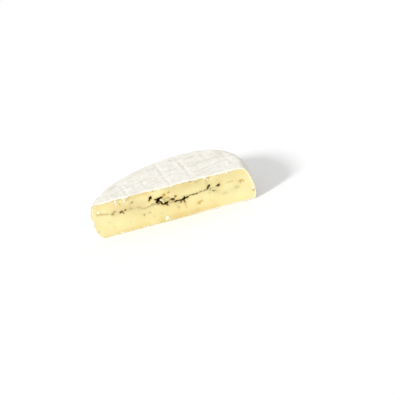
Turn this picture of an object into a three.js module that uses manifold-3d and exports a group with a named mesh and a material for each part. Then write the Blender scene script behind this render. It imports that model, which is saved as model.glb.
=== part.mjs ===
// Half of a soft cheese wheel with a bloomy rind, cut across with a knife.
// The wheel is flat below, swells at its side and is slightly domed on top, where the wires of
// the ripening rack have pressed shallow furrows. It has sagged, so it is a little out of round
// and lower at its right end. The cut face shows a seam at a little over half height, with ragged
// openings along it.
//
// Millimetres. X runs along the cut, the half wheel lies towards +Y from the cut, and Z is up.
// The origin is under the middle of the piece, on the surface that it rests on.

import * as THREE from 'three';
import { mergeVertices } from 'three/addons/utils/BufferGeometryUtils.js';
import Module from 'manifold-3d';

// The wheel.
const WHEEL_RADIUS = 90;
const WHEEL_HEIGHT = 39;
const DOME = 0.7;
const SIDE_SWELL = 5.2;
const TOP_DRAWN_IN = 1.3;
const SHOULDER = 3.2;
const FOOT = 2;
const CUT_PAST_CENTRE = 4.5;

// How much lower than in the middle the wheel stands one radius to the right, as a share.
const LEAN = 0.038;

// How far out of round the wheel is: waves of its radius, by the number of lobes round it.
const OUT_OF_ROUND = [
  { lobes: 2, across: -0.1, along: 0.1 },
  { lobes: 3, across: 0.1, along: 0.25 },
  { lobes: 4, across: 0.6, along: 0.15 },
  { lobes: 5, across: 0.65, along: -0.15 },
];

// The ripening rack's wires: how far aside of the axis each lies, the stretch of it that touches
// the rind, and how deep that sinks in. The cross wires lie higher and touch only here and there.
const WIRE_RADIUS = 3;
const WIRE_LIFT = 0.15;
const WIRE_TURN = THREE.MathUtils.degToRad(-65);
const WIRES = [
  { aside: -56, from: -46, to: -14, depth: 0.2 },
  { aside: -38, from: -58, to: -14, depth: 0.4 },
  { aside: -27.5, from: -44, to: -12, depth: 0.3 },
  { aside: -17, from: -50, to: -12, depth: 0.3 },
  { aside: 5.5, from: -72, to: 4, depth: 0.6 },
  { aside: 28, from: -72, to: 8, depth: 0.6 },
  { aside: 53, from: -56, to: -12, depth: 0.3 },
  { aside: 70, from: -34, to: 20, depth: 0.2 },
];
const CROSS_WIRES = [
  { aside: 3, from: 24, to: 74, depth: 0.4 },
  { aside: 24, from: -6, to: 76, depth: 0.4 },
  { aside: 40, from: -60, to: -12, depth: 0.4 },
  { aside: 58, from: -26, to: 40, depth: 0.3 },
];

// The cut face: it starts this far behind the knife's plane, bows out at mid height, and has long
// waves where the knife dragged, of a height and of a length along and up the face.
const CUT_BACK = 0.3;
const CUT_BOW = 0.3;
const KNIFE_DRAG = [
  { high: 0.16, along: 7, up: 9 },
  { high: 0.1, along: 3.1, up: -5 },
];

// The seam in the cut face, as points of X and Z, and how wide and deep it gapes.
const SEAM_GAPE = 0.6;
const SEAM = [
  [-85, 27.5], [-76, 26.5], [-69, 25.2], [-64, 24], [-55, 23.6], [-48, 24.4], [-36, 23.8],
  [-30, 21.2], [-24, 21.6], [-18, 22.8], [-12, 22.6], [-9, 20.2], [-5, 20.8], [0, 21.4],
  [4, 20], [13.4, 19.8], [16, 21], [20.5, 22.3], [28, 22.2], [38, 23], [42, 25], [48, 24.2],
  [53, 25], [57, 26.4], [70, 25.4],
];

// The openings in the cut face: where each is, how long and high, its turn in degrees and depth.
const OPENINGS = [
  { x: -12.6, z: 26, long: 6.4, high: 3.4, turn: 25, deep: 4 },
  { x: -10.2, z: 27.6, long: 4.6, high: 1.8, turn: 14, deep: 2.8 },
  { x: -14.6, z: 24.4, long: 3.6, high: 1.8, turn: 55, deep: 2.8 },
  { x: -10.9, z: 23.4, long: 3.6, high: 1.6, turn: -65, deep: 3 },
  { x: -5.6, z: 20.6, long: 4.6, high: 1.8, turn: 18, deep: 2.6 },
  { x: -20.5, z: 29.9, long: 4.6, high: 1.9, turn: 52, deep: 3 },
  { x: 2.4, z: 22.8, long: 4.6, high: 1.8, turn: -8, deep: 2.4 },
  { x: 6.7, z: 25.5, long: 2.4, high: 1.4, turn: 25, deep: 1.6 },
  { x: 6.2, z: 19.8, long: 6.6, high: 1.4, turn: 1, deep: 2.2 },
  { x: 13.8, z: 20.4, long: 5.6, high: 2.1, turn: 42, deep: 3 },
  { x: -5.2, z: 29.9, long: 2.4, high: 1.6, turn: 30, deep: 1.2 },
  { x: 42.8, z: 25.8, long: 5.2, high: 1.9, turn: 44, deep: 2.8 },
  { x: 53.4, z: 24.7, long: 4, high: 1.9, turn: 14, deep: 2.2 },
  { x: 46.8, z: 20.3, long: 2.8, high: 1.3, turn: -20, deep: 1.2 },
  { x: -54.8, z: 23.8, long: 4.6, high: 1.6, turn: 14, deep: 2.2 },
  { x: -49.8, z: 24.6, long: 2.2, high: 1.5, turn: 45, deep: 1.8 },
  { x: -61.4, z: 25.6, long: 2.8, high: 1.2, turn: 35, deep: 1.2 },
  { x: 28.4, z: 12.3, long: 4.8, high: 1.8, turn: 10, deep: 1.2 },
  { x: 77, z: 23, long: 4.8, high: 2.6, turn: 0, deep: 1.4 },
];
const OPENING_ROUGHNESS = 0.22;
const OPENING_LUMPS = { along: 5, up: 4 };

// How much detail the surfaces have.
const WHEEL_STEPS = 84;
const SIDE_STEPS = 10;
const FILLET_STEPS = 3;
const TOP_STEPS = 4;
const CUT_STEPS = { along: 48, up: 11 };
const WIRE_SIDES = 16;
const WIRE_STEPS = 10;
const SEAM_STEPS = 44;
const SEAM_SIDES = 4;
const OPENING_DETAIL = { shallow: 1, deep: 2, deepFrom: 2.2 };

// How far the knife block reaches past the wheel.
const CLEAR = 20;

const WASM = await Module();
WASM.setup();

// A closed geometry as a solid. Triangles that have shrunk to a line, as at a pole, are left out.
function solidOf(geometry) {
  const bare = geometry.clone();
  bare.deleteAttribute('normal');
  bare.deleteAttribute('uv');
  const merged = mergeVertices(bare);
  const corners = merged.index.array;
  const kept = [];
  for (let i = 0; i < corners.length; i += 3) {
    const [a, b, c] = corners.slice(i, i + 3);
    if (a !== b && b !== c && c !== a) kept.push(a, b, c);
  }
  const mesh = new WASM.Mesh({
    numProp: 3,
    vertProperties: Float32Array.from(merged.attributes.position.array),
    triVerts: Uint32Array.from(kept),
  });
  return new WASM.Manifold(mesh);
}

// A solid as a geometry that a mesh can show.
function geometryOf(solid) {
  const { vertProperties, triVerts } = solid.getMesh();
  const geometry = new THREE.BufferGeometry();
  geometry.setAttribute('position', new THREE.BufferAttribute(vertProperties, 3));
  geometry.setIndex(new THREE.BufferAttribute(triVerts, 1));
  geometry.computeVertexNormals();
  return geometry;
}

// Moves every vertex of a geometry by a function that changes the point it is given.
function reshape(geometry, change) {
  const position = geometry.attributes.position;
  const point = new THREE.Vector3();
  for (let i = 0; i < position.count; i += 1) {
    change(point.fromBufferAttribute(position, i));
    position.setXYZ(i, point.x, point.y, point.z);
  }
  return geometry;
}

// The side's radius at a height: widest at mid height and drawn in a little towards the top.
function sideRadius(z) {
  const t = (2 * z) / WHEEL_HEIGHT - 1;
  return WHEEL_RADIUS - SIDE_SWELL * Math.abs(t) ** 3 - (TOP_DRAWN_IN * (t + 1)) / 2;
}

// How far the radius departs from round, at an angle from the middle of the half wheel's back.
function outOfRound(angle) {
  const sine = (w) => w.across * Math.sin(w.lobes * angle);
  const cosine = (w) => w.along * Math.cos(w.lobes * angle);
  return OUT_OF_ROUND.reduce((sum, w) => sum + sine(w) + cosine(w), 0);
}

// The share of its height that the leaning wheel keeps at a place along the cut.
function leanAt(x) {
  return 1 - (LEAN * x) / WHEEL_RADIUS;
}

// The height of the domed top over a point, before the rack has marked it.
function topHeight(x, y) {
  const share = Math.hypot(x, y + CUT_PAST_CENTRE) / sideRadius(WHEEL_HEIGHT);
  return (WHEEL_HEIGHT + DOME * (1 - share ** 2)) * leanAt(x);
}

// The whole wheel, with its axis where the knife leaves it, past the cut.
function makeWheel() {
  const top = sideRadius(WHEEL_HEIGHT);
  const bottom = sideRadius(0);
  const foot = new THREE.Path();
  foot.moveTo(bottom - FOOT, 0);
  foot.quadraticCurveTo(bottom, 0, sideRadius(FOOT), FOOT);
  const points = [new THREE.Vector2(0, 0), ...foot.getPoints(FILLET_STEPS)];
  const sideHeight = WHEEL_HEIGHT - FOOT - SHOULDER;
  for (let i = 1; i < SIDE_STEPS; i += 1) {
    const z = FOOT + (sideHeight * i) / SIDE_STEPS;
    points.push(new THREE.Vector2(sideRadius(z), z));
  }
  const shoulder = new THREE.Path();
  shoulder.moveTo(sideRadius(WHEEL_HEIGHT - SHOULDER), WHEEL_HEIGHT - SHOULDER);
  shoulder.quadraticCurveTo(top, WHEEL_HEIGHT, top - SHOULDER, WHEEL_HEIGHT);
  points.push(...shoulder.getPoints(FILLET_STEPS + 1));
  for (let i = 1; i <= TOP_STEPS; i += 1) {
    const share = 1 - i / TOP_STEPS;
    points.push(new THREE.Vector2((top - SHOULDER) * share, WHEEL_HEIGHT + DOME * (1 - share ** 2)));
  }
  const wheel = new THREE.LatheGeometry(points, WHEEL_STEPS);
  wheel.rotateX(Math.PI / 2);
  reshape(wheel, (p) => {
    const grow = 1 + outOfRound(Math.atan2(p.x, p.y)) / WHEEL_RADIUS;
    p.set(p.x * grow, p.y * grow - CUT_PAST_CENTRE, p.z * leanAt(p.x * grow));
  });
  return solidOf(wheel);
}

// How far the cut face stands behind the knife's plane at a point of it.
function cutWaver(x, z) {
  const wave = ({ high, along, up }) => high * Math.sin(x / along + z / up);
  const drag = KNIFE_DRAG.reduce((sum, w) => sum + wave(w), 0);
  return CUT_BACK + drag - CUT_BOW * Math.sin((Math.PI * z) / WHEEL_HEIGHT);
}

// What the knife takes away: all on the near side of the cut.
function makeKnifeBlock() {
  const length = 2 * (WHEEL_RADIUS + CLEAR);
  const height = WHEEL_HEIGHT + 2 * CLEAR;
  const { along, up } = CUT_STEPS;
  const block = new THREE.BoxGeometry(length, WHEEL_RADIUS + CLEAR, height, along, 1, up);
  block.translate(0, -(WHEEL_RADIUS + CLEAR) / 2, WHEEL_HEIGHT / 2);
  return solidOf(reshape(block, (p) => {
    if (p.y > -CLEAR) p.y = cutWaver(p.x, p.z);
  }));
}

// A rack wire: it sinks into the rind between its two ends, where it lifts clear.
function makeWire({ aside, from, to, depth }, turn) {
  const along = new THREE.Vector2(Math.cos(turn), Math.sin(turn));
  const points = [];
  for (let i = 0; i <= WIRE_STEPS; i += 1) {
    const share = i / WIRE_STEPS;
    const reach = from + (to - from) * share;
    const x = along.x * reach - along.y * aside;
    const y = along.y * reach + along.x * aside;
    const sunk = (depth + WIRE_LIFT) * Math.sqrt(Math.sin(Math.PI * share)) - WIRE_LIFT;
    points.push(new THREE.Vector3(x, y, topHeight(x, y) + WIRE_RADIUS - sunk));
  }
  const section = new THREE.Shape().absarc(0, 0, WIRE_RADIUS, 0, 2 * Math.PI);
  return solidOf(new THREE.ExtrudeGeometry(section, {
    curveSegments: WIRE_SIDES,
    steps: WIRE_STEPS,
    bevelEnabled: false,
    extrudePath: new THREE.CatmullRomCurve3(points),
  }));
}

// The gaping seam: a thin four-sided bar along its line, half of it behind the cut face.
function makeSeam() {
  const points = SEAM.map(([x, z]) => new THREE.Vector3(x, cutWaver(x, z), z));
  const section = new THREE.Shape().absarc(0, 0, SEAM_GAPE, 0, 2 * Math.PI);
  return solidOf(new THREE.ExtrudeGeometry(section, {
    curveSegments: SEAM_SIDES,
    steps: SEAM_STEPS,
    bevelEnabled: false,
    extrudePath: new THREE.CatmullRomCurve3(points),
  }));
}

// One opening: a squashed ball with an uneven skin, centred on the cut face.
function makeOpening({ x, z, long, high, turn, deep }, index) {
  const detail = deep > OPENING_DETAIL.deepFrom ? OPENING_DETAIL.deep : OPENING_DETAIL.shallow;
  const ball = new THREE.IcosahedronGeometry(1, detail);
  reshape(ball, (p) => {
    const { along, up } = OPENING_LUMPS;
    const swell = Math.sin(along * p.x + index) * Math.cos(up * p.z + 2 * index);
    p.multiplyScalar(1 + OPENING_ROUGHNESS * swell);
  });
  ball.scale(long / 2, deep, high / 2);
  ball.rotateY(-THREE.MathUtils.degToRad(turn));
  ball.translate(x, cutWaver(x, z), z);
  return solidOf(ball);
}

// Carves the furrows, the cut, the seam and the openings out of the wheel.
function makeHalfWheel() {
  const wires = WIRES.map((wire) => makeWire(wire, WIRE_TURN));
  const crossWires = CROSS_WIRES.map((wire) => makeWire(wire, WIRE_TURN + Math.PI / 2));
  const openings = OPENINGS.map(makeOpening);
  const cutters = [...wires, ...crossWires, makeKnifeBlock(), makeSeam(), ...openings];
  return geometryOf(cutters.reduce((wheel, cutter) => wheel.subtract(cutter), makeWheel()));
}

// Puts the origin under the middle of the piece.
function centreOnBase(geometry) {
  geometry.computeBoundingBox();
  const { min, max } = geometry.boundingBox;
  return geometry.translate(-(min.x + max.x) / 2, -(min.y + max.y) / 2, -min.z);
}

const bloomyRind = new THREE.MeshStandardMaterial({ color: 0xf2eee2, roughness: 0.9, metalness: 0 });
const halfWheel = new THREE.Mesh(centreOnBase(makeHalfWheel()), bloomyRind);
halfWheel.name = 'half_wheel';

const cheese = new THREE.Group();
cheese.add(halfWheel);

export default cheese;
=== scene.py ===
# %% [markdown]
# # Half of a soft cheese wheel
# This lesson dresses a plain solid, half of a cut cheese wheel, with the looks of the real food.
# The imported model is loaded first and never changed. Each piece made here stands where it stands:
# the bloomy rind is a thin shell, the paste is the core inside it, and crumbs of rind lie on the cut.

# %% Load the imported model
import math
import random
from itertools import pairwise

import bmesh
import bpy
from mathutils import Matrix, Vector, noise


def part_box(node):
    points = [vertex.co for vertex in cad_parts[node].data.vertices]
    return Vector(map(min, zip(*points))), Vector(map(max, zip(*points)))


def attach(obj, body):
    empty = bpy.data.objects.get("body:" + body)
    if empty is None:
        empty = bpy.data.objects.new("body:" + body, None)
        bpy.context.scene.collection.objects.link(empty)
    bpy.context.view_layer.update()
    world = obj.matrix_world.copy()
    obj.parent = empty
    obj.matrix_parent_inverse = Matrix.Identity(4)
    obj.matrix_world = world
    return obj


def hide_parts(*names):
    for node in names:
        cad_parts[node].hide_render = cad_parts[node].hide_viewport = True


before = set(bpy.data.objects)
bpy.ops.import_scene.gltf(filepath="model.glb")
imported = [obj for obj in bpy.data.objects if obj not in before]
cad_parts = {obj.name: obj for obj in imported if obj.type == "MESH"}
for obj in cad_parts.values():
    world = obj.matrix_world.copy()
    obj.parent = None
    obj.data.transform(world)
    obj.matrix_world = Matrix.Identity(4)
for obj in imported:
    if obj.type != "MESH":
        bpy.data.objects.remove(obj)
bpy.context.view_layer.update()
NODE = "half_wheel"
MM = 0.001
low, high = (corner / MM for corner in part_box(NODE))
print("half wheel, mm:", [round(size, 1) for size in high - low])

# %% [markdown]
# ## The wheel's form
# A small brie is cast in a hoop, so it is round, and it sags as it ripens: the side swells, its top
# edge draws in and the whole goes a little out of round. A few lengths and formulas say all this.
# They are worked in millimetres about the wheel's own axis, with the cut at Y = 0, and each piece
# is moved into the frame when it is finished.

# %% Lengths of the wheel, in millimetres
RADIUS = 90
DOME = 0.7
HEIGHT = 39
SIDE_SWELL = 5.2
TOP_DRAWN_IN = 1.3
SHOULDER = 3.2
FOOT = 2
CUT_PAST_CENTRE = 4.5
OUT_OF_ROUND = [(2, -0.1, 0.1), (3, 0.1, 0.25), (4, 0.6, 0.15), (5, 0.65, -0.15)]
# How much lower than in the middle the wheel stands one radius to the right, as a share.
LEAN = 0.038


def side_radius(z):
    """The round wheel's radius at a height."""
    t = 2 * z / HEIGHT - 1
    return RADIUS - SIDE_SWELL * abs(t) ** 3 - TOP_DRAWN_IN * (t + 1) / 2


def out_of_round(angle):
    """How far the radius departs from round, at an angle from the middle of the back."""
    return sum(
        across * math.sin(lobes * angle) + along * math.cos(lobes * angle)
        for lobes, across, along in OUT_OF_ROUND
    )


def lean_at(x):
    """The share of its height that the leaning wheel keeps at a place along the cut."""
    return 1 - LEAN * x / RADIUS


def top_height(x, y):
    """The height of the domed top over a point, before the wheel leans."""
    share = math.hypot(x, y + CUT_PAST_CENTRE) / side_radius(HEIGHT)
    return HEIGHT + DOME * (1 - share**2)


# %% The cut: never quite flat, because the knife drags
CUT_BACK = 0.3
CUT_BOW = 0.3
KNIFE_DRAG = [(0.16, 7, 9), (0.1, 3.1, -5)]


def cut_depth(x, z):
    """How far the cut face stands behind the knife's plane."""
    drag = sum(deep * math.sin(x / along + z / up) for deep, along, up in KNIFE_DRAG)
    return CUT_BACK + drag - CUT_BOW * math.sin(math.pi * z / HEIGHT)


# %% The outline at any height, and at any depth behind the cut
WIDEST = side_radius(HEIGHT / 2)
OUTLINE_ENDS = 130
OUTLINE_STEP = 2


def drawn_in_at(z, inset):
    """How far inside the widest outline a wall stands that lies an inset behind the outside."""
    foot, shoulder = max(0, 1 - z / FOOT), max(0, 1 - max(0, HEIGHT - z) / SHOULDER)
    corner = FOOT * (1 - math.sqrt(1 - foot**2)) + SHOULDER * (1 - math.sqrt(1 - shoulder**2))
    return WIDEST - side_radius(z) + corner + inset


def outline():
    """The wheel's widest outline, as points of X and Y, from before the cut at one side to the other."""
    points = []
    for degrees in range(-OUTLINE_ENDS, OUTLINE_ENDS + 1, OUTLINE_STEP):
        angle = math.radians(degrees)
        reach = WIDEST * (1 + out_of_round(angle) / RADIUS)
        points.append((reach * math.sin(angle), reach * math.cos(angle) - CUT_PAST_CENTRE))
    return points


WIDEST_OUTLINE = outline()
BACK = max(y for _, y in WIDEST_OUTLINE)


def span(depth):
    """The left and right X of the widest outline at a depth behind the cut."""
    across = [
        a[0] + (b[0] - a[0]) * (depth - a[1]) / (b[1] - a[1])
        for a, b in pairwise(WIDEST_OUTLINE)
        if (a[1] - depth) * (b[1] - depth) <= 0
    ]
    return min(across), max(across)


FACE_LEFT, FACE_RIGHT = span(0)
print("cut, mm:", round(FACE_LEFT, 1), round(FACE_RIGHT, 1), "back:", round(BACK, 1))

# %% [markdown]
# ## Helpers
# A few small functions serve every piece. One shapes a number between two limits, and one adds a
# node to a material with its settings and links. Others turn a colour as a designer writes it, in
# sRGB, into the linear light that a shader works with, and lay colours over one another. The last
# makes an object of a bmesh.


# %% Helpers for numbers, nodes and colours
def ease(value, start, end):
    """0 before start, 1 after end, and smooth between them."""
    share = min(1, max(0, (value - start) / (end - start)))
    return share * share * (3 - 2 * share)


def add_node(tree, kind, inputs=None, **settings):
    """Adds a node: settings are its own properties, inputs are values or sockets to link."""
    node = tree.nodes.new(kind)
    for name, value in settings.items():
        setattr(node, name, value)
    for name, value in (inputs or {}).items():
        if isinstance(value, bpy.types.NodeSocket):
            tree.links.new(value, node.inputs[name])
        else:
            node.inputs[name].default_value = value
    return node


def linear(hex_colour):
    """An sRGB hex colour as linear red, green, blue and alpha."""
    channels = [int(hex_colour[i : i + 2], 16) / 255 for i in (1, 3, 5)]
    return [c / 12.92 if c <= 0.04045 else ((c + 0.055) / 1.055) ** 2.4 for c in channels] + [1]


def per_mm(size):
    """The scale of a pattern on Object coordinates, which are metres, whose cells are size mm."""
    return 1 / (size * MM)


def noise_texture(tree, where, size):
    """The socket of a noise whose cells are size mm."""
    inputs = {"Vector": where, "Scale": per_mm(size), "Detail": 3}
    return add_node(tree, "ShaderNodeTexNoise", inputs).outputs[0]


def mixed(tree, factor, first, second):
    """The socket of a mix of two colours, each a hex colour or a socket."""
    ends = {6: first, 7: second}
    inputs = {slot: linear(end) if isinstance(end, str) else end for slot, end in ends.items()}
    return add_node(tree, "ShaderNodeMix", {"Factor": factor, **inputs}, data_type="RGBA").outputs[2]


def clouded(tree, where, size, limits, first, second):
    """Two colours in clouds of size mm, which turn into each other between two limits of the noise."""
    inputs = {"Value": noise_texture(tree, where, size), "From Min": limits[0], "From Max": limits[1]}
    share = add_node(tree, "ShaderNodeMapRange", inputs)
    return mixed(tree, share.outputs[0], first, second)


def tinted(tree, colour, tints):
    """A colour with tints laid over it, each as strong as the attribute that it goes by."""
    for layer, tint in tints.items():
        amount = add_node(tree, "ShaderNodeAttribute", attribute_name=layer)
        colour = mixed(tree, amount.outputs["Fac"], colour, tint)
    return colour


def add_bump(tree, where, size, strength, height):
    """Gives the shader a fine bump, whose cells and height are in mm."""
    inputs = {"Height": noise_texture(tree, where, size), "Strength": strength, "Distance": height * MM}
    bump = add_node(tree, "ShaderNodeBump", inputs)
    tree.links.new(bump.outputs[0], tree.nodes["Principled BSDF"].inputs["Normal"])


def finish_piece(bm, name, material):
    """Leans a bmesh, moves it from the wheel's own millimetres to the frame, and makes an object."""
    for vert in bm.verts:
        vert.co.z *= lean_at(vert.co.x)
    bmesh.ops.translate(bm, verts=bm.verts, vec=TO_FRAME)
    bmesh.ops.scale(bm, verts=bm.verts, vec=(MM, MM, MM))
    mesh = bpy.data.meshes.new(name)
    bm.to_mesh(mesh)
    bm.free()
    mesh.shade_smooth()
    mesh.materials.append(material)
    piece = bpy.data.objects.new(name, mesh)
    bpy.context.scene.collection.objects.link(piece)
    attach(piece, "root")
    print(name, "triangles:", sum(len(face.vertices) - 2 for face in mesh.polygons))
    return piece


# %% [markdown]
# ## The rind's outside
# The rind is a skin of white mould over the whole outside. A potter would throw this form, and
# spinning a profile does the same: the outline of half the wheel's section is turned about the
# axis, which gives even, ring-like faces that take relief well. The turned wheel is then pressed
# out of round, and bisected by the knife's plane.

# %% The section, from the middle of the bottom round to the middle of the top
TURNS = 640
STEP_TOP = 0.9
STEP_SIDE = 1.0
STEP_BOTTOM = 1.5
FOOT_STEPS = 4
SHOULDER_STEPS = 7
# Points of the turned wheel that are closer than this are one, and so are those along the cut.
WELD = 0.001
WELD_AT_CUT = 0.03
ON_TOP = 0.01


def evenly(start, end, step):
    """Numbers from start to end, about a step apart, without the last."""
    count = max(1, round(abs(end - start) / step))
    return [start + (end - start) * i / count for i in range(count)]


def rounded(start, corner, end, count):
    """Points of a round corner between two points of the section, without the last."""
    points = []
    for i in range(count):
        t = i / count
        points.append(start * (1 - t) ** 2 + corner * 2 * t * (1 - t) + end * t * t)
    return points


def section():
    """The section as vectors of radius and height."""
    bottom, top = side_radius(0), side_radius(HEIGHT)
    shoulder_z = HEIGHT - SHOULDER
    foot_start, foot_end = Vector((bottom - FOOT, 0)), Vector((side_radius(FOOT), FOOT))
    top_start, top_end = Vector((side_radius(shoulder_z), shoulder_z)), Vector((top - SHOULDER, HEIGHT))
    points = [Vector((r, 0)) for r in evenly(0, bottom - FOOT, STEP_BOTTOM)]
    points += rounded(foot_start, Vector((bottom, 0)), foot_end, FOOT_STEPS)
    points += [Vector((side_radius(z), z)) for z in evenly(FOOT, shoulder_z, STEP_SIDE)]
    points += rounded(top_start, Vector((top, HEIGHT)), top_end, SHOULDER_STEPS)
    points += [Vector((r, HEIGHT)) for r in evenly(top - SHOULDER, 0, STEP_TOP)]
    return [*points, Vector((0, HEIGHT))]


# %% Turn the section, press it out of round and cut it
def press(vert):
    """Moves a vertex of the round wheel to its place in the uneven, domed one."""
    x, y, z = vert.co
    if z > HEIGHT - ON_TOP:
        z = HEIGHT + DOME * (1 - (math.hypot(x, y) / side_radius(HEIGHT)) ** 2)
    grow = 1 + out_of_round(math.atan2(x, y)) / RADIUS
    vert.co = (x * grow, y * grow - CUT_PAST_CENTRE, z)


def turned_wheel():
    """The half wheel's outside, open at the cut."""
    bm = bmesh.new()
    verts = [bm.verts.new((0, -point.x, point.y)) for point in section()]
    edges = [bm.edges.new(pair) for pair in pairwise(verts)]
    bmesh.ops.spin(bm, geom=verts + edges, axis=(0, 0, 1), cent=(0, 0, 0),
                   angle=math.tau, steps=TURNS, use_merge=True)
    bmesh.ops.remove_doubles(bm, verts=bm.verts, dist=WELD)
    bmesh.ops.recalc_face_normals(bm, faces=bm.faces)
    for vert in bm.verts:
        press(vert)
    everything = [*bm.verts, *bm.edges, *bm.faces]
    bmesh.ops.bisect_plane(bm, geom=everything, plane_co=(0, 0, 0), plane_no=(0, -1, 0),
                           clear_outer=True)
    bmesh.ops.remove_doubles(bm, verts=bm.verts, dist=WELD_AT_CUT)
    return bm


rind = turned_wheel()
print("rind outside:", len(rind.faces), "faces")

# %% The move from the wheel's own place to the frame
wheel_low = min(vert.co.x for vert in rind.verts)
wheel_high = max(vert.co.x for vert in rind.verts)
wheel_back = max(vert.co.y for vert in rind.verts)
TO_FRAME = Vector(((low.x + high.x - wheel_low - wheel_high) / 2, high.y - wheel_back, 0))
print("moved by, mm:", [round(length, 2) for length in TO_FRAME])

# %% [markdown]
# ## Marks of the ripening rack
# The cheese ripens on a wire rack and is turned now and then, so both flats carry the print of the
# wires: shallow furrows with soft lips, crossed by others that only touch here and there. Between
# them the skin is creased. The furrows run where the solid has them, and each is a short formula:
# a valley across the wire, faded out at its ends.

# %% The wires: how far aside, from where to where along them, and how deep, in millimetres
WIRE_TURN = math.radians(-65)
WIRES = [
    (-56, -46, -14, 0.2),
    (-38, -58, -14, 0.32),
    (-27.5, -44, -12, 0.2),
    (-17, -50, -12, 0.22),
    (5.5, -72, 4, 0.4),
    (28, -72, 8, 0.4),
    (53, -56, -12, 0.26),
    (70, -34, 20, 0.2),
]
CROSS_WIRES = [(3, 24, 74, 0.4), (24, -6, 76, 0.4), (40, -60, -12, 0.4), (58, -26, 40, 0.3)]
# A furrow wanders aside by a little, and the wire pressed harder in some places than in others.
FURROW_HALF_WIDTH = 1.5
FURROW_WANDERS = 1.1
WANDER_LENGTH = 12
TOUCH_MEAN = 0.85
TOUCH_VARIES = 0.7
TOUCH_LENGTH = 7
# The lips beside it: their height as a share of its depth, their place and width in half widths.
LIP_HEIGHT = 0.4
LIP_PLACE = 2.2
LIP_WIDTH = 0.9
LIP_ENDS = 5


def along_and_aside(x, y, turn):
    """A point of the top, measured along and aside of wires that lie at a turn."""
    cosine, sine = math.cos(turn), math.sin(turn)
    return x * cosine + y * sine, y * cosine - x * sine


def furrow(along, aside, wire):
    """The height that one wire leaves at a point: a valley between two soft lips."""
    place, start, end, depth = wire
    share = (along - start) / (end - start)
    wander = FURROW_WANDERS * noise.noise(Vector((along / WANDER_LENGTH, place, 4)))
    off = abs(aside - place - wander) / FURROW_HALF_WIDTH
    if not 0 < share < 1 or off > LIP_ENDS:
        return 0
    touch = TOUCH_MEAN + TOUCH_VARIES * noise.noise(Vector((along / TOUCH_LENGTH, place, 0)))
    valley = math.exp(-off * off)
    lip = LIP_HEIGHT * math.exp(-(((off - LIP_PLACE) / LIP_WIDTH) ** 2))
    return depth * touch * math.sqrt(math.sin(math.pi * share)) * (lip - valley)


def rack_marks(x, y):
    """The height that all the wires leave at a point of a flat."""
    along, aside = along_and_aside(x, y, WIRE_TURN)
    height = sum(furrow(along, aside, wire) for wire in WIRES)
    along, aside = along_and_aside(x, y, WIRE_TURN + math.pi / 2)
    return height + sum(furrow(along, aside, wire) for wire in CROSS_WIRES)


# %% Creases of the skin between the wires, and hollows near its rim
# Each hollow: the X and Y of its middle, its half width and its depth.
HOLLOWS = [(-68, 33, 3.8, 0.4), (-63, 36, 3, 0.25), (-49, 48, 4, 0.35), (-43, 53, 3, 0.25),
           (-30, 58, 3.8, 0.4), (-24, 57, 3.8, 0.35), (-6, 68, 3.4, 0.3), (19, 63, 4.4, 0.35),
           (25, 62, 4, 0.3), (17, 73, 2.6, 0.25), (46, 63, 2.4, 0.35), (52, 55, 3, 0.5),
           (66, 41, 3, 0.45), (50, 45, 4, 0.25), (-60, 12, 6, 0.2), (-77, 14, 3, 0.3),
           (30, 40, 9, 0.2), (56, 20, 7, 0.2), (-34, 30, 8, 0.15)]
# Each kind of fold: its height, its length along and aside of the cross wires and up, and a seed.
FOLDS = [(0.3, 5.4, 2.3, 6, 0), (0.14, 1.9, 6, 6, 9), (0.1, 1.7, 1.2, 3, 0)]
FOLDS_WANDER = 3
FOLD_WANDER_LENGTH = 15
WAVE_HEIGHT = 0.2
WAVE_LENGTH = 12


def hollows(x, y):
    """The height that the hollows leave at a point of the top."""
    return -sum(
        deep * math.exp(-((x - at) ** 2 + (y - back) ** 2) / wide**2) for at, back, wide, deep in HOLLOWS
    )


def creases(x, y, z):
    """Low folds, longer along the cross wires than aside of them, and wide soft waves."""
    along, aside = along_and_aside(x, y, WIRE_TURN + math.pi / 2)
    aside += FOLDS_WANDER * noise.noise(Vector((along, aside, 0)) / FOLD_WANDER_LENGTH)
    folds = sum(
        height * noise.noise(Vector((along / long, aside / wide, z / tall + seed)))
        for height, long, wide, tall, seed in FOLDS
    )
    return folds + WAVE_HEIGHT * noise.noise(Vector((x, y, z)) / WAVE_LENGTH)


# %% [markdown]
# ## The skin's relief
# All marks go inwards from the plain form, so the skin never stands out past the solid. The side is
# creased less than the flats. The underside has furrows of its own, which fade out towards the cut.
# An attribute keeps how grey each point is painted: a little grey all over, and painted shade that
# makes the side greyer than the flats, and hollows greyer than ridges.

# %% Press the marks into the outside
FLAT_FROM, FLAT_TO = 0.6, 0.95
CREASE_MIDDLE = 0.34
DEEPEST_MARK = 1
SIDE_CREASED = 0.6
SIDE_SUNK = 0.3
UNDERSIDE_ASIDE = -9
UNDERSIDE_BACK = 6
UNDERSIDE_FADE = (1, 14)
# How grey the skin is painted: a little on the flats, and painted shade on the side and per mm of hollow.
GREY_FLAT = 0.16
GREY_SIDE = 0.6
GREY_PER_MM = 1.2
CUT_REACH = 12


def skin_at(vert):
    """How far the skin stands out at a vertex, 0 or less, and how grey it is painted, with painted shade on
    the side and in hollows.
    """
    x, y, z = vert.co
    flat = ease(abs(vert.normal.z), FLAT_FROM, FLAT_TO)
    fold = creases(x, y, z) * (SIDE_CREASED + (1 - SIDE_CREASED) * flat)
    if z > HEIGHT / 2:
        marks = rack_marks(x, y)
        fold += hollows(x, y)
    else:
        marks = rack_marks(UNDERSIDE_ASIDE - x, y + UNDERSIDE_BACK) * ease(y, *UNDERSIDE_FADE)
    grey = GREY_FLAT + (GREY_SIDE - GREY_FLAT) * (1 - flat) - GREY_PER_MM * (marks * flat + fold)
    sunk = CREASE_MIDDLE * (SIDE_SUNK + (1 - SIDE_SUNK) * flat)
    return max(-DEEPEST_MARK, min(0, marks * flat + fold - sunk)), min(1, max(0, grey))


# Grey painted per vertex: a slight tint, and painted shade on the side and in the hollows.
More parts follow.
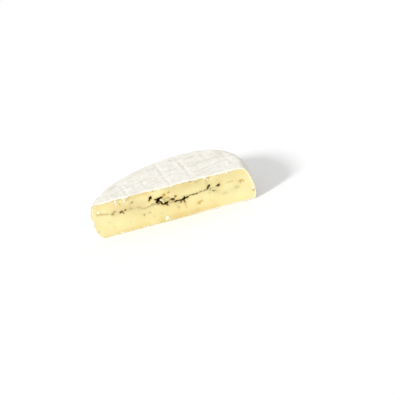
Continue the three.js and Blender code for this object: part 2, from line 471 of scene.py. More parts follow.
tint_and_shade_layer = rind.verts.layers.float.new("tint_and_shade")
smear_layer = rind.verts.layers.float.new("smear")
rind.normal_update()
reliefs = []
for vert in rind.verts:
    relief, vert[tint_and_shade_layer] = skin_at(vert)
    reliefs.append((vert, vert.normal * relief))
for vert, relief in reliefs:
    vert.co += relief
    vert.co.z = max(0, vert.co.z)
    vert.co.y += cut_depth(vert.co.x, vert.co.z) * ease(-vert.co.y, -CUT_REACH, 0)
print("deepest mark, mm:", round(max(relief.length for _, relief in reliefs), 2))

# %% [markdown]
# ## The rind's edge and inner wall
# On the cut the rind shows as a white line of uneven thickness, torn and smeared by the knife. It is
# the open edge of the outside, extruded inwards within the cut. That inner edge is then extruded
# back, step by step, into the inner wall that the paste lies against.

# %% How thick the rind is along the cut, and where the knife pulled a flap of it down
RIND = 1.5
RIND_ON_TOP = 1.8
RIND_ON_LEFT = 0.5
RIND_ON_RIGHT = 1.4
RIND_BELOW = (0.5, 1.2)
# Each flap: where it is along the edge, how much deeper it hangs, and how wide it is.
TOP_FLAPS = [(-80, -0.5, 5), (-69, 0.9, 3.6), (-46.4, 2.0, 1.4), (-43.4, 1.0, 2.0), (-30, -0.7, 9),
             (-16.6, 0.7, 2.6), (-9, 0.6, 3), (-1, 1.0, 4.5), (7.4, 0.9, 2.6), (16, 0.3, 2), (24, 0.6, 2.0),
             (33, 0.7, 1.8), (41.6, 1.2, 1.3), (44.4, 1.0, 1.2), (59.5, 1.0, 5), (66.4, 2.0, 0.8),
             (71, 0.5, 3)]
LEFT_FLAPS = [(19.5, 1.6, 2.2), (35, 1.2, 2.0), (31, 1.2, 1.6)]
RIGHT_FLAPS = [(12.6, 2.2, 2.0), (21, 0.4, 1.2), (23.6, 0.5, 0.8), (27, 0.8, 1.3), (31, 0.7, 0.8),
               (34, 0.8, 2.0)]
# How ragged the rind's inner edge is on each side, and its tears: their depth, size and seed.
RAGGED_TOP = 0.6
RAGGED_BELOW = 0.5
RAGGED_LEFT = 0.3
RAGGED_RIGHT = 1.1
TEARS = [(0.6, 2.1, 0), (0.8, 0.9, 9)]
# Where the rind below grows from thin to thick, along the cut.
THICKER_BELOW = (10, 45)
# An edge faces up, or down, where its normal rises or falls by more than this.
FACING = 0.5

# %% How far inside the outside the paste's cut face ends, hidden behind the rind's edge
TOP_INSET = 1.2
FOOT_INSET = 0.3
LEFT_INSET = 0.3
RIGHT_INSET = 1.1
OVERLAP = 0.12


def hanging(place, flaps):
    """How much deeper the flaps make the rind at a place along its edge."""
    return sum(deep * math.exp(-(((place - at) / wide) ** 2)) for at, deep, wide in flaps)


def rind_thickness(x, z, facing):
    """The rind's thickness where it meets the cut, for an edge that faces up, down or aside."""
    ragged = sum(deep * noise.noise(Vector((x, seed, z)) / size) for deep, size, seed in TEARS)
    if facing > FACING:
        return max(TOP_INSET + OVERLAP, RIND_ON_TOP + RAGGED_TOP * ragged + hanging(x, TOP_FLAPS))
    if facing < -FACING:
        thin, thick = RIND_BELOW
        grown = thin + (thick - thin) * ease(x, *THICKER_BELOW)
        return max(FOOT_INSET + OVERLAP, grown + RAGGED_BELOW * ragged)
    if x < 0:
        return max(LEFT_INSET + OVERLAP, RIND_ON_LEFT + RAGGED_LEFT * ragged + hanging(z, LEFT_FLAPS))
    return max(RIGHT_INSET + OVERLAP, RIND_ON_RIGHT + RAGGED_RIGHT * ragged + hanging(z, RIGHT_FLAPS))


# %% How strongly the knife smeared paste over the rind's edge
SMEAR_ON_TOP = 0.12
SMEAR_ON_RIGHT = 0.55
SMEAR_INSIDE_TOP = 0.3
SMEAR_INSIDE = 0.1
# Where the smear below ends, along the cut, and how deep a flap has to hang to stay white.
SMEAR_ENDS_BELOW = (14, 24)
WHITE_FLAP = (0.3, 1)
FLECK_SIZE = 2.2
FLECK_LIMITS = (0.1, 0.35)
# How much of the skin's painted grey, tint and shade, is left at the cut on top and elsewhere, and how grey
# the torn edge is painted.
GREY_LEFT_ON_TOP = 0.9
GREY_LEFT = 0.3
GREY_TORN = 0.1


def smeared(x, z, facing):
    """How far the knife smeared paste over the rind's edge, and left it bare in flecks."""
    fleck = ease(noise.noise(Vector((x, 4, z)) / FLECK_SIZE), *FLECK_LIMITS)
    if facing > FACING:
        return SMEAR_ON_TOP
    if facing < -FACING:
        return (1 - fleck) * (1 - ease(x, *SMEAR_ENDS_BELOW))
    if x < 0:
        return (1 - fleck) * (1 - ease(hanging(z, LEFT_FLAPS), *WHITE_FLAP))
    return SMEAR_ON_RIGHT * (1 - fleck)


# %% The inner wall's steps, closer together towards the round back
LOFT_STEPS = 12
SHORT_OF_BACK = 0.2


def loft_back(bm, edges, inset):
    """Extrudes a border on the cut back through the wheel, within its sides and under its dome."""
    places = {}
    for vert in {vert for edge in edges for vert in edge.verts}:
        x, _, z = vert.co
        shrink = 1 - drawn_in_at(z, inset) / WIDEST
        share = min(1, max(0, (x / shrink - FACE_LEFT) / (FACE_RIGHT - FACE_LEFT)))
        places[vert] = (share, shrink, x, z)
    for step in range(1, LOFT_STEPS + 1):
        depth = min(BACK * math.sin(math.pi / 2 * step / LOFT_STEPS), BACK - SHORT_OF_BACK)
        left, right = span(depth)
        made = bmesh.ops.extrude_edge_only(bm, edges=edges)["geom"]
        edges = [item for item in made if isinstance(item, bmesh.types.BMEdge)]
        moved = {}
        for vert in (item for item in made if isinstance(item, bmesh.types.BMVert)):
            before = next(e.other_vert(vert) for e in vert.link_edges if e.other_vert(vert) in places)
            moved[vert] = share, shrink, front_x, front_z = places[before]
            x = shrink * (left + (right - left) * share)
            y = shrink * (depth + CUT_PAST_CENTRE) - CUT_PAST_CENTRE
            fall = top_height(front_x, 0) - top_height(x, y)
            z = front_z - fall * front_z / HEIGHT
            vert.co = (x, y, min(top_height(x, y) - inset, max(inset, z)))
        places = moved
    bmesh.ops.edgeloop_fill(bm, edges=edges)


def border(bm):
    """The open edges of a bmesh."""
    return [edge for edge in bm.edges if edge.is_boundary]


# %% Extrude the torn edge inwards, then the wall back
rind.normal_update()
outer = {vert for edge in border(rind) for vert in edge.verts}
made = bmesh.ops.extrude_edge_only(rind, edges=border(rind))["geom"]
inner_edges = [item for item in made if isinstance(item, bmesh.types.BMEdge)]
for vert in (item for item in made if isinstance(item, bmesh.types.BMVert)):
    start = next(e.other_vert(vert) for e in vert.link_edges if e.other_vert(vert) in outer)
    facing = start.normal.z
    inwards = Vector((-start.normal.x, 0, -facing)).normalized()
    # At the cut the skin's painted grey shade is lessened, and the torn edge gets a light grey.
    start[tint_and_shade_layer] *= GREY_LEFT_ON_TOP if facing > FACING else GREY_LEFT
    vert[tint_and_shade_layer] = GREY_TORN
    start[smear_layer] = smeared(start.co.x, start.co.z, facing)
    vert[smear_layer] = max(SMEAR_INSIDE_TOP if facing > FACING else SMEAR_INSIDE, start[smear_layer])
    vert.co = start.co + inwards * rind_thickness(start.co.x, start.co.z, facing)
    vert.co.y = cut_depth(vert.co.x, vert.co.z)
loft_back(rind, inner_edges, RIND)
bmesh.ops.recalc_face_normals(rind, faces=rind.faces)
print("open edges left:", len(border(rind)))

# %% [markdown]
# ## The rind's finish
# The skin is a felt of white mould, dry and matte, a warm white with painted shade that greys it on
# the side and in the hollows, and creamy where the knife smeared paste over its edge. Matte stuff
# needs almost no gloss, and a soft sheen gives the velvet edge. The felt itself is a fine bump,
# drawn at 0.9 mm, coarser than real mould, so that it shows.

# %% Bloomy rind, its patterns in millimetres
CLOUDS = 14
FELT = 0.9
FELT_HEIGHT = 0.25


def bloomy_rind():
    """White mould on cheese: matte, velvety, warm white."""
    material = bpy.data.materials.new("bloomy_rind")
    material.use_nodes = True
    tree = material.node_tree
    shader = tree.nodes["Principled BSDF"]
    where = add_node(tree, "ShaderNodeTexCoord").outputs["Object"]
    white = clouded(tree, where, CLOUDS, (0.35, 0.65), "#FBF8F0", "#F5F1E6")
    # The grey tint is painted shade on the side and in the hollows; the cream is smeared paste.
    colour = tinted(tree, white, {"tint_and_shade": "#DBD7C9", "smear": "#ECDEA4"})
    tree.links.new(colour, shader.inputs["Base Color"])
    add_bump(tree, where, FELT, 0.5, FELT_HEIGHT)
    shader.inputs["Roughness"].default_value = 0.9
    shader.inputs["Specular IOR Level"].default_value = 0.25
    shader.inputs["Sheen Weight"].default_value = 0.15
    return material


rind_piece = finish_piece(rind, "rind", bloomy_rind())
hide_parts(NODE)

# %% [markdown]
# ## The paste's cut face
# Inside is soft paste. The cut face is where it shows, so that face is a fine grid, closest in the
# band where the openings lie. It is warped to the wheel's section, then every point is pushed back
# by the knife's drag and by the openings. The hidden rest is the same border lofted back.

# %% The openings of the cut face, in millimetres
# Each: the points that it runs through, how wide and how deep it is, and how dark its mould with painted
# shade is.
OPENINGS = [
    ([(-15.8, 27.4), (-13.4, 26.6), (-10.8, 27.2), (-7.4, 28.1)], 2.4, 2.4, 1),
    ([(-11.8, 26.9), (-13, 25.4), (-15.2, 23.2)], 2.6, 2.6, 1),
    ([(-12.8, 26.2), (-11.4, 25.2)], 3, 2.6, 1),
    ([(-12, 25.4), (-11.4, 24), (-10, 22.2)], 1.7, 1.8, 0.85),
    ([(-14.4, 22.1), (-12.2, 22.4)], 1.7, 1, 0.5),
    ([(-10.6, 22.2), (-9.8, 20.6), (-8.4, 19.6)], 1.6, 1.6, 1),
    ([(-8.4, 19.6), (-6.4, 20.3), (-3.6, 21.2)], 2.3, 2, 1),
    ([(-6, 19.6), (-5.3, 18.6), (-4.4, 17.2)], 1.6, 1.2, 0.75),
    ([(-22.4, 27.8), (-20, 29.8)], 1.5, 1.6, 0.9),
    ([(-20.6, 29.2), (-18.8, 31.6)], 2.9, 2.2, 1),
    ([(0.4, 23.4), (2, 22.6), (4.2, 22.6)], 2.5, 1.8, 0.84),
    ([(4.2, 23), (5.4, 24.4)], 1, 0.6, 0.18),
    ([(5.4, 24.9), (7.8, 25.5)], 2.2, 1, 0.45),
    ([(3.2, 19.5), (4.6, 19.9), (9, 19.6)], 1.5, 1.8, 0.9),
    ([(3.8, 19.6), (5.2, 19.7)], 2.2, 1.8, 1),
    ([(9, 19.6), (11.6, 19.3), (13.6, 19.6), (15, 21), (15.2, 22.4)], 2, 2, 1),
    ([(12.6, 19.8), (14.6, 19.9)], 2.6, 2, 1),
    ([(15.2, 21), (17.4, 20.7), (19.2, 21.4)], 1.6, 1.6, 0.9),
    ([(11.6, 19.1), (10.2, 17.8), (8.8, 16.8)], 1.3, 1.2, 0.55),
    ([(13.5, 19.2), (13.6, 17.4), (13.5, 16)], 1.4, 1.2, 0.6),
    ([(41, 23.6), (42.2, 25.2), (43.6, 26.6), (45.2, 27.4)], 2.1, 1.6, 0.72),
    ([(45.4, 24.6), (44.2, 22.8), (43.2, 21.4)], 1.0, 0.6, 0.25),
    ([(45.8, 20.8), (48.2, 19.8)], 1.4, 1, 0.4),
    ([(51.6, 24.4), (53.6, 24.6), (55, 25.2)], 2.1, 1.5, 0.8),
    ([(54.4, 25.4), (55.8, 26.8)], 0.9, 0.6, 0.35),
    ([(-56.6, 22.9), (-55, 23.9), (-52.4, 24)], 2.2, 1.4, 0.52),
    ([(-53.8, 23.6), (-52.6, 21.4)], 1.3, 1, 0.4),
    ([(-50.6, 24.1), (-49, 25.1)], 1.6, 1.4, 0.75),
    ([(-65.2, 23.6), (-63.4, 23.9)], 2, 0.8, 0.16),
    ([(-62.8, 25), (-60.8, 26.2)], 1.1, 1, 0.32),
    ([(-40.6, 30.8), (-38.8, 31.2)], 1.6, 0.8, 0.1),
    ([(-32.9, 13.7), (-31.8, 14.6)], 1.3, 0.8, 0.3),
    ([(28, 10.4), (30.4, 10.8)], 3.4, 1.0, 0),
    ([(76.6, 21.2), (78.2, 21.2)], 3.8, 1.0, 0),
]
# The seam's thread, which comes and goes: the points of each stretch, its width and how dark its mould with
# painted shade is.
THREADS = [
    ([(-76, 26.6), (-72.6, 26.1), (-69, 25.2)], 1.3, 0.16),
    ([(-60, 24.4), (-57, 23.4)], 0.8, 0.14),
    ([(-47, 23.8), (-43.6, 25), (-40.4, 23.8), (-36, 24.4), (-33.4, 23.4)], 1.2, 0.1),
    ([(-33.4, 23.4), (-31.4, 21.4), (-29, 20.9), (-25, 21.6), (-21, 22.6), (-16, 22.6)], 1.2, 0.17),
    ([(-4, 21.6), (-2, 22.4), (0.4, 23.2)], 1.4, 0.34),
    ([(19.2, 21.5), (21.4, 22.3), (24, 22.4)], 1.1, 0.5),
    ([(24.2, 22.2), (26.6, 21.9), (29.8, 22.2)], 1.3, 0.78),
    ([(30, 22.1), (33.4, 22.9), (37, 22.7)], 0.8, 0.26),
    ([(32.9, 22.8), (33.8, 23)], 1.6, 0.5),
    ([(37, 22.8), (39, 23), (41.2, 23.8)], 1.1, 0.5),
    ([(45, 23.5), (48.6, 23.5), (51.6, 24.3)], 0.8, 0.2),
]
# Stains without depth: the points, the width, how grey-green and how amber they are.
STAINS = [
    ([(-62, 24.4), (-44, 24.4)], 10, 0.12, 0.03),
    ([(-54, 31), (-47, 28)], 9, 0.12, 0.1),
    ([(-44, 24.4), (-34, 23)], 7, 0.16, 0.03),
    ([(-38, 30), (-30, 27)], 9, 0.14, 0.06),
    ([(-36, 22), (-28, 21), (-18, 22.6)], 4, 0.24, 0),
    ([(-41, 18), (-34, 16)], 6, 0.12, 0.04),
    ([(-15, 24), (-5, 21)], 6, 0.16, 0.1),
    ([(-6.6, 26.4), (-5.8, 23.6)], 2.4, 0.6, 0.3),
    ([(-3.2, 26.2), (-1.2, 25.6)], 2.4, 0.4, 0.6),
    ([(-4, 22), (3, 20), (13, 19)], 8, 0.2, 0.04),
    ([(-2.4, 20), (2.4, 20.2)], 2.2, 0.5, 0.2),
    ([(18, 22), (32, 22.6), (41, 24)], 4, 0.24, 0.03),
    ([(41, 23), (48, 21)], 8, 0.2, 0),
    ([(41.4, 19), (42.4, 19.2)], 2.6, 0.3, 0),
    ([(42.5, 30), (43.5, 34)], 4, 0.28, 0.1),
    ([(47, 30), (53, 29)], 8, 0.12, 0.06),
    ([(50, 19), (56, 15), (66, 16), (70, 17)], 7, 0.17, 0),
    ([(-76, 26.6), (-69, 25.4)], 3, 0.22, 0.14),
    ([(-65, 23.7), (-63.6, 23.9)], 3.2, 0.55, 0.1),
    ([(-44, 25.2), (-43, 25)], 2.8, 0.3, 0.05),
    ([(-35.6, 24.4), (-34.6, 24.4)], 2.6, 0.3, 0.05),
    ([(-21, 23), (-18.6, 23)], 2.2, 0.4, 0.2),
    ([(-14.4, 22.2), (-11.4, 22.6)], 3.2, 0.5, 0.4),
    ([(-81, 27.2), (-77, 27.2)], 2.8, 0.2, 0.3),
    ([(-71.4, 16), (-70.2, 16)], 2.2, 0.28, 0),
    ([(-67.6, 9), (-67.2, 9.4)], 2.2, 0.18, 0),
    ([(-49.8, 10.6), (-49.2, 11)], 2.2, 0.14, 0),
    ([(-23.4, 9.6), (-22, 9.4)], 2, 0.22, 0),
    ([(-14, 11), (-13.4, 11.4)], 2.4, 0.18, 0),
    ([(-26.6, 15), (-25.6, 15)], 2.2, 0.5, 0.12),
    ([(-40.6, 30.8), (-39, 31.2)], 2.4, 0.4, 0),
    ([(-42.6, 31), (-43.4, 29)], 1.4, 0.3, 0.1),
    ([(5, 12.2), (5.8, 12.2)], 2.8, 0.4, 0.1),
    ([(3.6, 15.2), (6, 14.6)], 2.4, 0.2, 0),
    ([(-14.4, 37.2), (-12.6, 37.4)], 2.6, 0.6, 0),
    ([(44, 35.2), (46.4, 35.4)], 2.2, 0.6, 0.1),
    ([(26.6, 36.2), (27.4, 37)], 2.2, 0.5, 0.1),
    ([(31.6, 34.6), (33.4, 34.4)], 2.6, 0.3, 0.14),
    ([(36, 35.8), (39, 36)], 2.8, 0.3, 0.08),
    ([(-57, 38.2), (-55, 38.2)], 1.8, 0.4, 0.2),
    ([(-53.4, 37.2), (-50.6, 38), (-48.6, 36.4)], 1.6, 0.36, 0.3),
    ([(-54, 34.4), (-53.2, 31.4)], 1.5, 0.3, 0.2),
    ([(-45.6, 34.6), (-43, 36.4), (-39, 37.8)], 1.4, 0.3, 0.4),
    ([(-44, 34.8), (-30, 36.6), (-20, 36.4)], 4, 0, 0.26),
    ([(-42, 10), (-8, 12)], 24, 0.03, 0.1),
    ([(0, 34.6), (36, 33)], 8, 0.1, 0.12),
    ([(0.2, 30.9), (1.6, 31.4)], 1.6, 0.7, 0.9),
    ([(-5.2, 29.7), (-4, 30)], 3, 0.12, 1),
    ([(-4.8, 29.4), (-4.2, 30.2)], 2, 0.3, 0.8),
    ([(-9, 28.2), (-7.4, 28.6)], 2.2, 0, 0.3),
    ([(-22.6, 26.8), (-21.4, 27.8)], 2.4, 0.1, 0.4),
    ([(13.5, 17.6), (13.4, 14.6), (13.2, 10.6)], 2.5, 0, 0.44),
    ([(26, 11.2), (27.6, 12), (29.2, 12.7), (31.4, 12.7)], 2.2, 0.08, 0.7),
    ([(75, 22.6), (76.2, 23.4), (78, 23.8), (79.6, 23), (79.8, 21.8)], 1.7, 0.1, 0.75),
    ([(62.6, 25.2), (69.4, 25.4)], 1.6, 0.34, 0.06),
    ([(55.4, 13.8), (58.6, 14.8)], 2.4, 0.28, 0),
    ([(69.4, 17.6), (72.6, 17.8)], 2.8, 0.36, 0),
    ([(86.4, 9.4), (87.4, 10)], 2.2, 0.5, 0.6),
    ([(-86.4, 7.6), (-85.8, 8.4)], 2.6, 0, 0.4),
    ([(-16, 3), (22, 3)], 8, 0, 0.28),
    ([(8, 30), (40, 30)], 12, 0.08, 0.04),
    ([(4, 10), (38, 6)], 22, 0, 0.07),
    ([(-80, 36), (-60, 35)], 12, 0, 0.12),
    ([(-66, 3), (-30, 2)], 5, 0, 0.14),
    ([(24, 4), (44, 3)], 5, 0, 0.18),
    ([(58, 26), (72, 29)], 16, 0.07, 0.05),
    ([(56, 33), (82, 31)], 9, 0, 0.12),
]


def nearest(x, z, points):
    """The distance from a line of points, and how far along it the nearest place is, 0 to 1."""
    best, along = math.inf, 0
    for i, ((ax, az), (bx, bz)) in enumerate(pairwise(points)):
        run, rise = bx - ax, bz - az
        share = min(1, max(0, ((x - ax) * run + (z - az) * rise) / (run * run + rise * rise)))
        off = math.hypot(x - ax - run * share, z - az - rise * share)
        if off < best:
            best, along = off, (i + share) / (len(points) - 1)
    return best, along


def beside(x, points, reach):
    """True if a place is within reach of a line of points, along the cut."""
    return min(point[0] for point in points) - reach < x < max(point[0] for point in points) + reach


# %% What one point of the cut face is like
# Where paste is riper under the rind and above the bottom: the place, how far along, how much.
RIPE_TOP = [(-30, 13, 0.3), (26, 20, 0.3), (-62, 5, 0.2)]
RIPE_BOTTOM = [(18, 30, 0.1), (-60, 16, 0.05)]
RIPE_EVERYWHERE = 0.22
RIPE_DEPTH_TOP = 1.3
RIPE_DEPTH_BOTTOM = 2
# How far from its ends an opening and a thread still count, along the cut.
OPENING_REACH = 6
THREAD_REACH = 3
# The marks' outlines are ragged: how far a coarse and a fine noise move them, and its size.
COARSE_RAGGED, COARSE_SIZE = 0.6, 1.3
FINE_RAGGED, FINE_SIZE = 0.3, 0.6
# An opening narrows to this share of its width at its ends. A halo of grey and amber is round it.
NARROW_END = 0.4
MOULD_FADES = (0.75, 1.35)
HALO = 0.5
HALO_WIDTH = 0.8
MOULD_BROWN = 0.9
# A thread is shallow, as deep as its mould and painted shade are dark, and it swells and thins along its
# way.
THREAD_DEPTH = 0.7
THREAD_FADES = (0.4, 1.5)
THREAD_BROWN = 0.8
THREAD_SWELLS = 0.5
THREAD_SWELL_LENGTH = 2


def moved(x, z, seed):
    """How far the ragged outlines are moved at a point."""
    coarse = noise.noise(Vector((x, seed, z)) / COARSE_SIZE)
    fine = noise.noise(Vector((x, seed + 1, z)) / FINE_SIZE)
    return COARSE_RAGGED * coarse + FINE_RAGGED * fine


def riper(x, places):
    """How much riper than elsewhere the paste's edge is at a place along the cut."""
    return RIPE_EVERYWHERE + sum(much * math.exp(-(((x - at) / wide) ** 2)) for at, wide, much in places)


def cut_look(x, z):
    """The depth, the mould with its painted shade, the grey and the amber of a point of the face."""
    wx, wz = x + moved(x, z, 5), z + moved(x, z, 12)
    under_rind = max(0, top_height(x, 0) * lean_at(x) - RIND_ON_TOP - hanging(x, TOP_FLAPS) - z)
    over_foot = max(0, z - RIND_BELOW[0])
    depth = mould_and_shade = grey = 0
    ripe_above = riper(x, RIPE_TOP) * math.exp(-under_rind / RIPE_DEPTH_TOP)
    ripe_below = riper(x, RIPE_BOTTOM) * math.exp(-over_foot / RIPE_DEPTH_BOTTOM)
    amber = max(ripe_above, ripe_below)
    for points, width, deep, dark in OPENINGS:
        if beside(x, points, OPENING_REACH):
            off, along = nearest(wx, wz, points)
            half = width * (NARROW_END + (1 - NARROW_END) * math.sqrt(math.sin(math.pi * along))) / 2
            halo = HALO * dark * math.exp(-max(0, off - half) / HALO_WIDTH)
            depth = max(depth, deep * math.sqrt(max(0, 1 - (off / half) ** 2)))
            mould_and_shade = max(mould_and_shade, dark * (1 - ease(off / half, *MOULD_FADES)))
            grey = max(grey, halo)
            amber = max(amber, halo, MOULD_BROWN * mould_and_shade)
    for points, width, dark in THREADS:
        if beside(x, points, THREAD_REACH):
            off, along = nearest(wx, wz, points)
            swell = THREAD_SWELLS * noise.noise(Vector((x / THREAD_SWELL_LENGTH, 2, 0)))
            half = width * (1 + swell) / 2
            depth = max(depth, THREAD_DEPTH * dark * max(0, 1 - (off / half) ** 2))
            mould_and_shade = max(mould_and_shade, dark * (1 - ease(off / half, *THREAD_FADES)))
            amber = max(amber, THREAD_BROWN * mould_and_shade)
    for points, width, greys, ambers in STAINS:
        if beside(x, points, width):
            off, _ = nearest(wx, wz, points)
            strength = math.exp(-((2 * off / width) ** 2))
            grey = 1 - (1 - grey) * (1 - greys * strength)
            amber = 1 - (1 - amber) * (1 - ambers * strength)
    return depth, mould_and_shade, grey, amber


# %% Warp a grid to the section, closest in the veined band
COLUMNS = 560
ROWS = 100
BAND_MIDDLE = 24.5
BAND_PULL = 0.5
# The paste stands a little behind the rind's edge, with a fine grain and long streaks of the knife.
PASTE_BEHIND = 0.12
GRAIN_HEIGHT, GRAIN_SIZE = 0.05, 0.9
STREAK_HEIGHT, STREAK_LENGTH, STREAKS_PER_MM = 0.03, 9, 1.6


def row_height(share):
    """The height of a row of the grid: rows crowd towards the veined band."""
    lowest, highest = FOOT_INSET, HEIGHT - TOP_INSET
    middle = (BAND_MIDDLE - lowest) / (highest - lowest)
    bent = share - BAND_PULL * math.sin(math.tau * (share - middle)) / math.tau
    start = -BAND_PULL * math.sin(math.tau * (0 - middle)) / math.tau
    return lowest + (highest - lowest) * (bent - start)


paste = bmesh.new()
bmesh.ops.create_grid(paste, x_segments=COLUMNS, y_segments=ROWS, size=0.5)
mould_and_shade_layer = paste.verts.layers.float.new("mould_and_shade")
grey_layer = paste.verts.layers.float.new("grey")
amber_layer = paste.verts.layers.float.new("amber")
for vert in paste.verts:
    z = row_height(vert.co.y + 0.5)
    left, right = FACE_LEFT + drawn_in_at(z, LEFT_INSET), FACE_RIGHT - drawn_in_at(z, RIGHT_INSET)
    x = left + (right - left) * (vert.co.x + 0.5)
    z += (top_height(x, 0) - HEIGHT) * z / HEIGHT
    depth, vert[mould_and_shade_layer], vert[grey_layer], vert[amber_layer] = cut_look(x, z * lean_at(x))
    grain = GRAIN_HEIGHT * noise.noise(Vector((x, 1, z)) / GRAIN_SIZE)
    grain += STREAK_HEIGHT * noise.noise(Vector((x / STREAK_LENGTH, 3, z * STREAKS_PER_MM)))
    vert.co = (x, cut_depth(x, z) + PASTE_BEHIND + depth + grain, z)
bmesh.ops.reverse_faces(paste, faces=paste.faces)
loft_back(paste, border(paste), TOP_INSET)
bmesh.ops.recalc_face_normals(paste, faces=paste.faces)
print("open edges left:", len(border(paste)))

# %% [markdown]
# ## The paste's finish
# Ripe paste is a pale buttery yellow, soft and a little translucent, with a moist cut that gives a
# low broad gloss. It goes deeper yellow and almost amber just under the rind, where it ripens
# first, and grey-green near the veins. Blue mould lines the openings, dry, without the paste's gloss;
# its colour is painted near black, mould with painted shade of the deep openings and seam.

# %% Ripe paste, its patterns in millimetres
PASTE_CLOUDS = 19
PASTE_GRAIN = 1.1
PASTE_GRAIN_HEIGHT = 0.2
MOIST_GLOSS = 0.35
MOULD_GLOSS = 0.02
LIGHT_GOES_IN = 1.5


def ripe_paste():
    """Soft cheese paste: pale yellow, translucent, moist."""
    material = bpy.data.materials.new("ripe_paste")
    material.use_nodes = True
    tree = material.node_tree
    shader = tree.nodes["Principled BSDF"]
    where = add_node(tree, "ShaderNodeTexCoord").outputs["Object"]
    pale = clouded(tree, where, PASTE_CLOUDS, (0.36, 0.64), "#EBE2A8", "#EBDAA1")
    # The near-black tint is mould darkened with painted shade, darkest where the openings are deepest.
    colour = tinted(tree, pale, {"amber": "#C59D33", "grey": "#A39462", "mould_and_shade": "#140D02"})
    tree.links.new(colour, shader.inputs["Base Color"])
    mould_and_shade = add_node(tree, "ShaderNodeAttribute", attribute_name="mould_and_shade").outputs["Fac"]
    limits = {"Value": mould_and_shade, "To Min": MOIST_GLOSS, "To Max": MOULD_GLOSS}
    gloss = add_node(tree, "ShaderNodeMapRange", limits)
    tree.links.new(gloss.outputs[0], shader.inputs["Specular IOR Level"])
    add_bump(tree, where, PASTE_GRAIN, 0.35, PASTE_GRAIN_HEIGHT)
    shader.inputs["Roughness"].default_value = 0.5
    shader.inputs["Subsurface Weight"].default_value = 0.2
    shader.inputs["Subsurface Radius"].default_value = (1.0, 0.6, 0.25)
    shader.inputs["Subsurface Scale"].default_value = LIGHT_GOES_IN * MM
    return material


paste_piece = finish_piece(paste, "paste", ripe_paste())
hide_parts(NODE)

# %% [markdown]
# ## Crumbs of rind on the cut
# The knife tears bits off the rind, drags them down and leaves them stuck to the moist paste. Each
# bit is a small ball pushed out of shape and pressed flat against the cut. The larger ones have
# their places here, and fine ones are strewn along the edges with a seed, the same every time.

# %% Crumb by crumb, in one bmesh
# Each larger crumb: its X and Z on the cut, its width and its height.
CRUMBS = [(-78.2, 29.6, 3, 3), (-57, 33, 1.8, 2), (-56.8, 35.8, 2.6, 3), (-47, 34.8, 1.8, 2.2),
          (-48.2, 37, 1.6, 2.2), (-9.8, 25.3, 2, 1.8), (42.8, 35.4, 2.4, 1.8), (44.8, 33.9, 1.6, 2.2),
          (66.2, 34.4, 1, 1.6), (87, 12.8, 3, 3), (-82, 33.4, 1.6, 1.2), (-62, 1.4, 3, 1.6),
          (-34, 1.2, 2, 1.4), (-10, 4.5, 4.4, 3.2), (-11.6, 2.8, 1.8, 2), (-8.2, 2.6, 1.8, 1.6),
          (-84.4, 31.4, 1.6, 1.6), (-60.6, 30, 1, 1), (-52, 2, 1, 0.8), (-86.8, 21.4, 1.8, 2.4),
          (-86.6, 18.6, 1.6, 2.2), (-87.2, 16.6, 1.2, 1.2), (-85.6, 29.4, 1.6, 1.4),
          (-83.4, 35, 1.6, 1.6), (-86.2, 26.6, 1, 0.8), (-85.6, 10.4, 0.8, 1), (-24, 1, 1.4, 1),
          (-4, 1.2, 1.2, 1), (86.2, 30, 1, 1.4)]
CRUMB_STANDS = 0.3
CRUMB_BEHIND = 0.1
CRUMB_LUMPS = 0.7
LUMPS_PER_WIDTH = 2.6
CRUMB_SLANTS = 0.6
CRUMB_CREAM = 0.22
CLEAR_OF_FLOOR = 0.05
# The fine crumbs: how many, between which X, how far off the edge most lie, how many lie below.
EDGE_CRUMBS = 140
EDGE_LEFT, EDGE_RIGHT = -82, 84
OFF_EDGE = 0.7
SHARE_BELOW = 0.55
FINE_SIZES = (0.4, 1.1)
FINE_STRETCH = (0.8, 1.6)
BEHIND_SOLID = 0.02
FRONT = low.y - TO_FRAME.y + BEHIND_SOLID
chance = random.Random(7)


def add_crumb(bm, x, z, wide, tall):
    """Adds one flattened bit of rind, a little creamy with paste, at a place on the cut."""
    made = bmesh.ops.create_icosphere(bm, subdivisions=2 if wide > 1 else 1, radius=0.5)["verts"]
    slant = chance.uniform(-CRUMB_SLANTS, CRUMB_SLANTS)
    for vert in made:
        vert[cream_layer] = CRUMB_CREAM
        out = 1 + CRUMB_LUMPS * noise.noise(vert.co * LUMPS_PER_WIDTH + Vector((x, z, 0)))
        across, up = vert.co.x * wide * out, vert.co.z * tall * out
        place_x, place_z = x + across + up * slant, z + up
        stand = cut_depth(place_x, place_z) + CRUMB_BEHIND + vert.co.y * 2 * CRUMB_STANDS
        vert.co = (place_x, max(FRONT, stand), max(CLEAR_OF_FLOOR, place_z) / lean_at(place_x))


crumbs = bmesh.new()
cream_layer = crumbs.verts.layers.float.new("smear")
for crumb in CRUMBS:
    add_crumb(crumbs, *crumb)
for _ in range(EDGE_CRUMBS):
    x = chance.uniform(EDGE_LEFT, EDGE_RIGHT)
    off_edge = chance.expovariate(1 / OFF_EDGE)
    if chance.random() < SHARE_BELOW:
        z = RIND_BELOW[0] + off_edge
    else:
        z = top_height(x, 0) * lean_at(x) - RIND_ON_TOP - hanging(x, TOP_FLAPS) - off_edge
    size = chance.uniform(*FINE_SIZES)
    add_crumb(crumbs, x, z, size * chance.uniform(*FINE_STRETCH), size)
bmesh.ops.recalc_face_normals(crumbs, faces=crumbs.faces)
crumbs_piece = finish_piece(crumbs, "rind_crumbs", rind_piece.data.materials[0])

# %% [markdown]
# ## Floor, light and camera
# A pale floor, an even pale sky and one broad sun from the front left give the photo's flat, bright
# light. The camera stands far off with a long lens, a little right of the cut and above it, and is
# rolled, so that the wheel leans in the picture as it does in the photo.

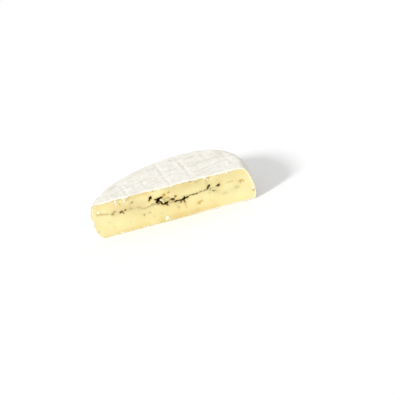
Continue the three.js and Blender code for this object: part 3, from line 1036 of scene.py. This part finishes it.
# %% The floor
FLOOR_REACH = 6
floor_bm = bmesh.new()
bmesh.ops.create_grid(floor_bm, x_segments=1, y_segments=1, size=FLOOR_REACH)
floor_mesh = bpy.data.meshes.new("floor")
floor_bm.to_mesh(floor_mesh)
floor_bm.free()
floor = bpy.data.objects.new("floor", floor_mesh)
bpy.context.scene.collection.objects.link(floor)
floor_paint = bpy.data.materials.new("pale_paper")
floor_paint.use_nodes = True
floor_shader = floor_paint.node_tree.nodes["Principled BSDF"]
floor_shader.inputs["Base Color"].default_value = linear("#FFFFFF")
floor_shader.inputs["Roughness"].default_value = 1
floor_shader.inputs["Specular IOR Level"].default_value = 0
floor_mesh.materials.append(floor_paint)

# %% The light
SKY = 0.7
SUN = 1.86
SUN_FROM = Vector((-0.68, -0.72, 0.62))
SUN_SIZE = math.radians(14)
world = bpy.data.worlds.new("pale_sky")
bpy.context.scene.world = world
world.use_nodes = True
world.node_tree.nodes["Background"].inputs["Color"].default_value = linear("#FFFFFF")
world.node_tree.nodes["Background"].inputs["Strength"].default_value = SKY
sun = bpy.data.objects.new("sun", bpy.data.lights.new("sun", "SUN"))
sun.data.energy = SUN
sun.data.angle = SUN_SIZE
sun.rotation_euler = SUN_FROM.to_track_quat("Z", "Y").to_euler()
bpy.context.scene.collection.objects.link(sun)
bpy.context.scene.view_settings.view_transform = "Standard"

# %% The camera
AZIMUTH = math.radians(-17.8)
ELEVATION = math.radians(21.4)
ROLL = math.radians(-21.6)
DISTANCE = 1800
FRAME_WIDTH = 418.8
SENSOR_WIDTH = 36
AIM = Vector((0, 40.5, 18))
AIM_RIGHT = 22.3
AIM_DOWN = 13.6
forward = Vector((math.sin(AZIMUTH) * math.cos(ELEVATION), math.cos(AZIMUTH) * math.cos(ELEVATION),
                  -math.sin(ELEVATION)))
level = Vector((math.cos(AZIMUTH), -math.sin(AZIMUTH), 0))
upright = level.cross(forward)
right = level * math.cos(ROLL) + upright * math.sin(ROLL)
up = upright * math.cos(ROLL) - level * math.sin(ROLL)
eye = AIM - forward * DISTANCE + right * AIM_RIGHT - up * AIM_DOWN + TO_FRAME
camera = bpy.data.objects.new("camera", bpy.data.cameras.new("camera"))
camera.data.sensor_width = SENSOR_WIDTH
camera.data.lens = SENSOR_WIDTH * DISTANCE / FRAME_WIDTH
camera.data.clip_end = 100
turn = Matrix((right, up, -forward)).transposed()
camera.matrix_world = Matrix.Translation(eye * MM) @ turn.to_4x4()
bpy.context.scene.collection.objects.link(camera)
bpy.context.scene.camera = camera
print("lens:", round(camera.data.lens, 1))
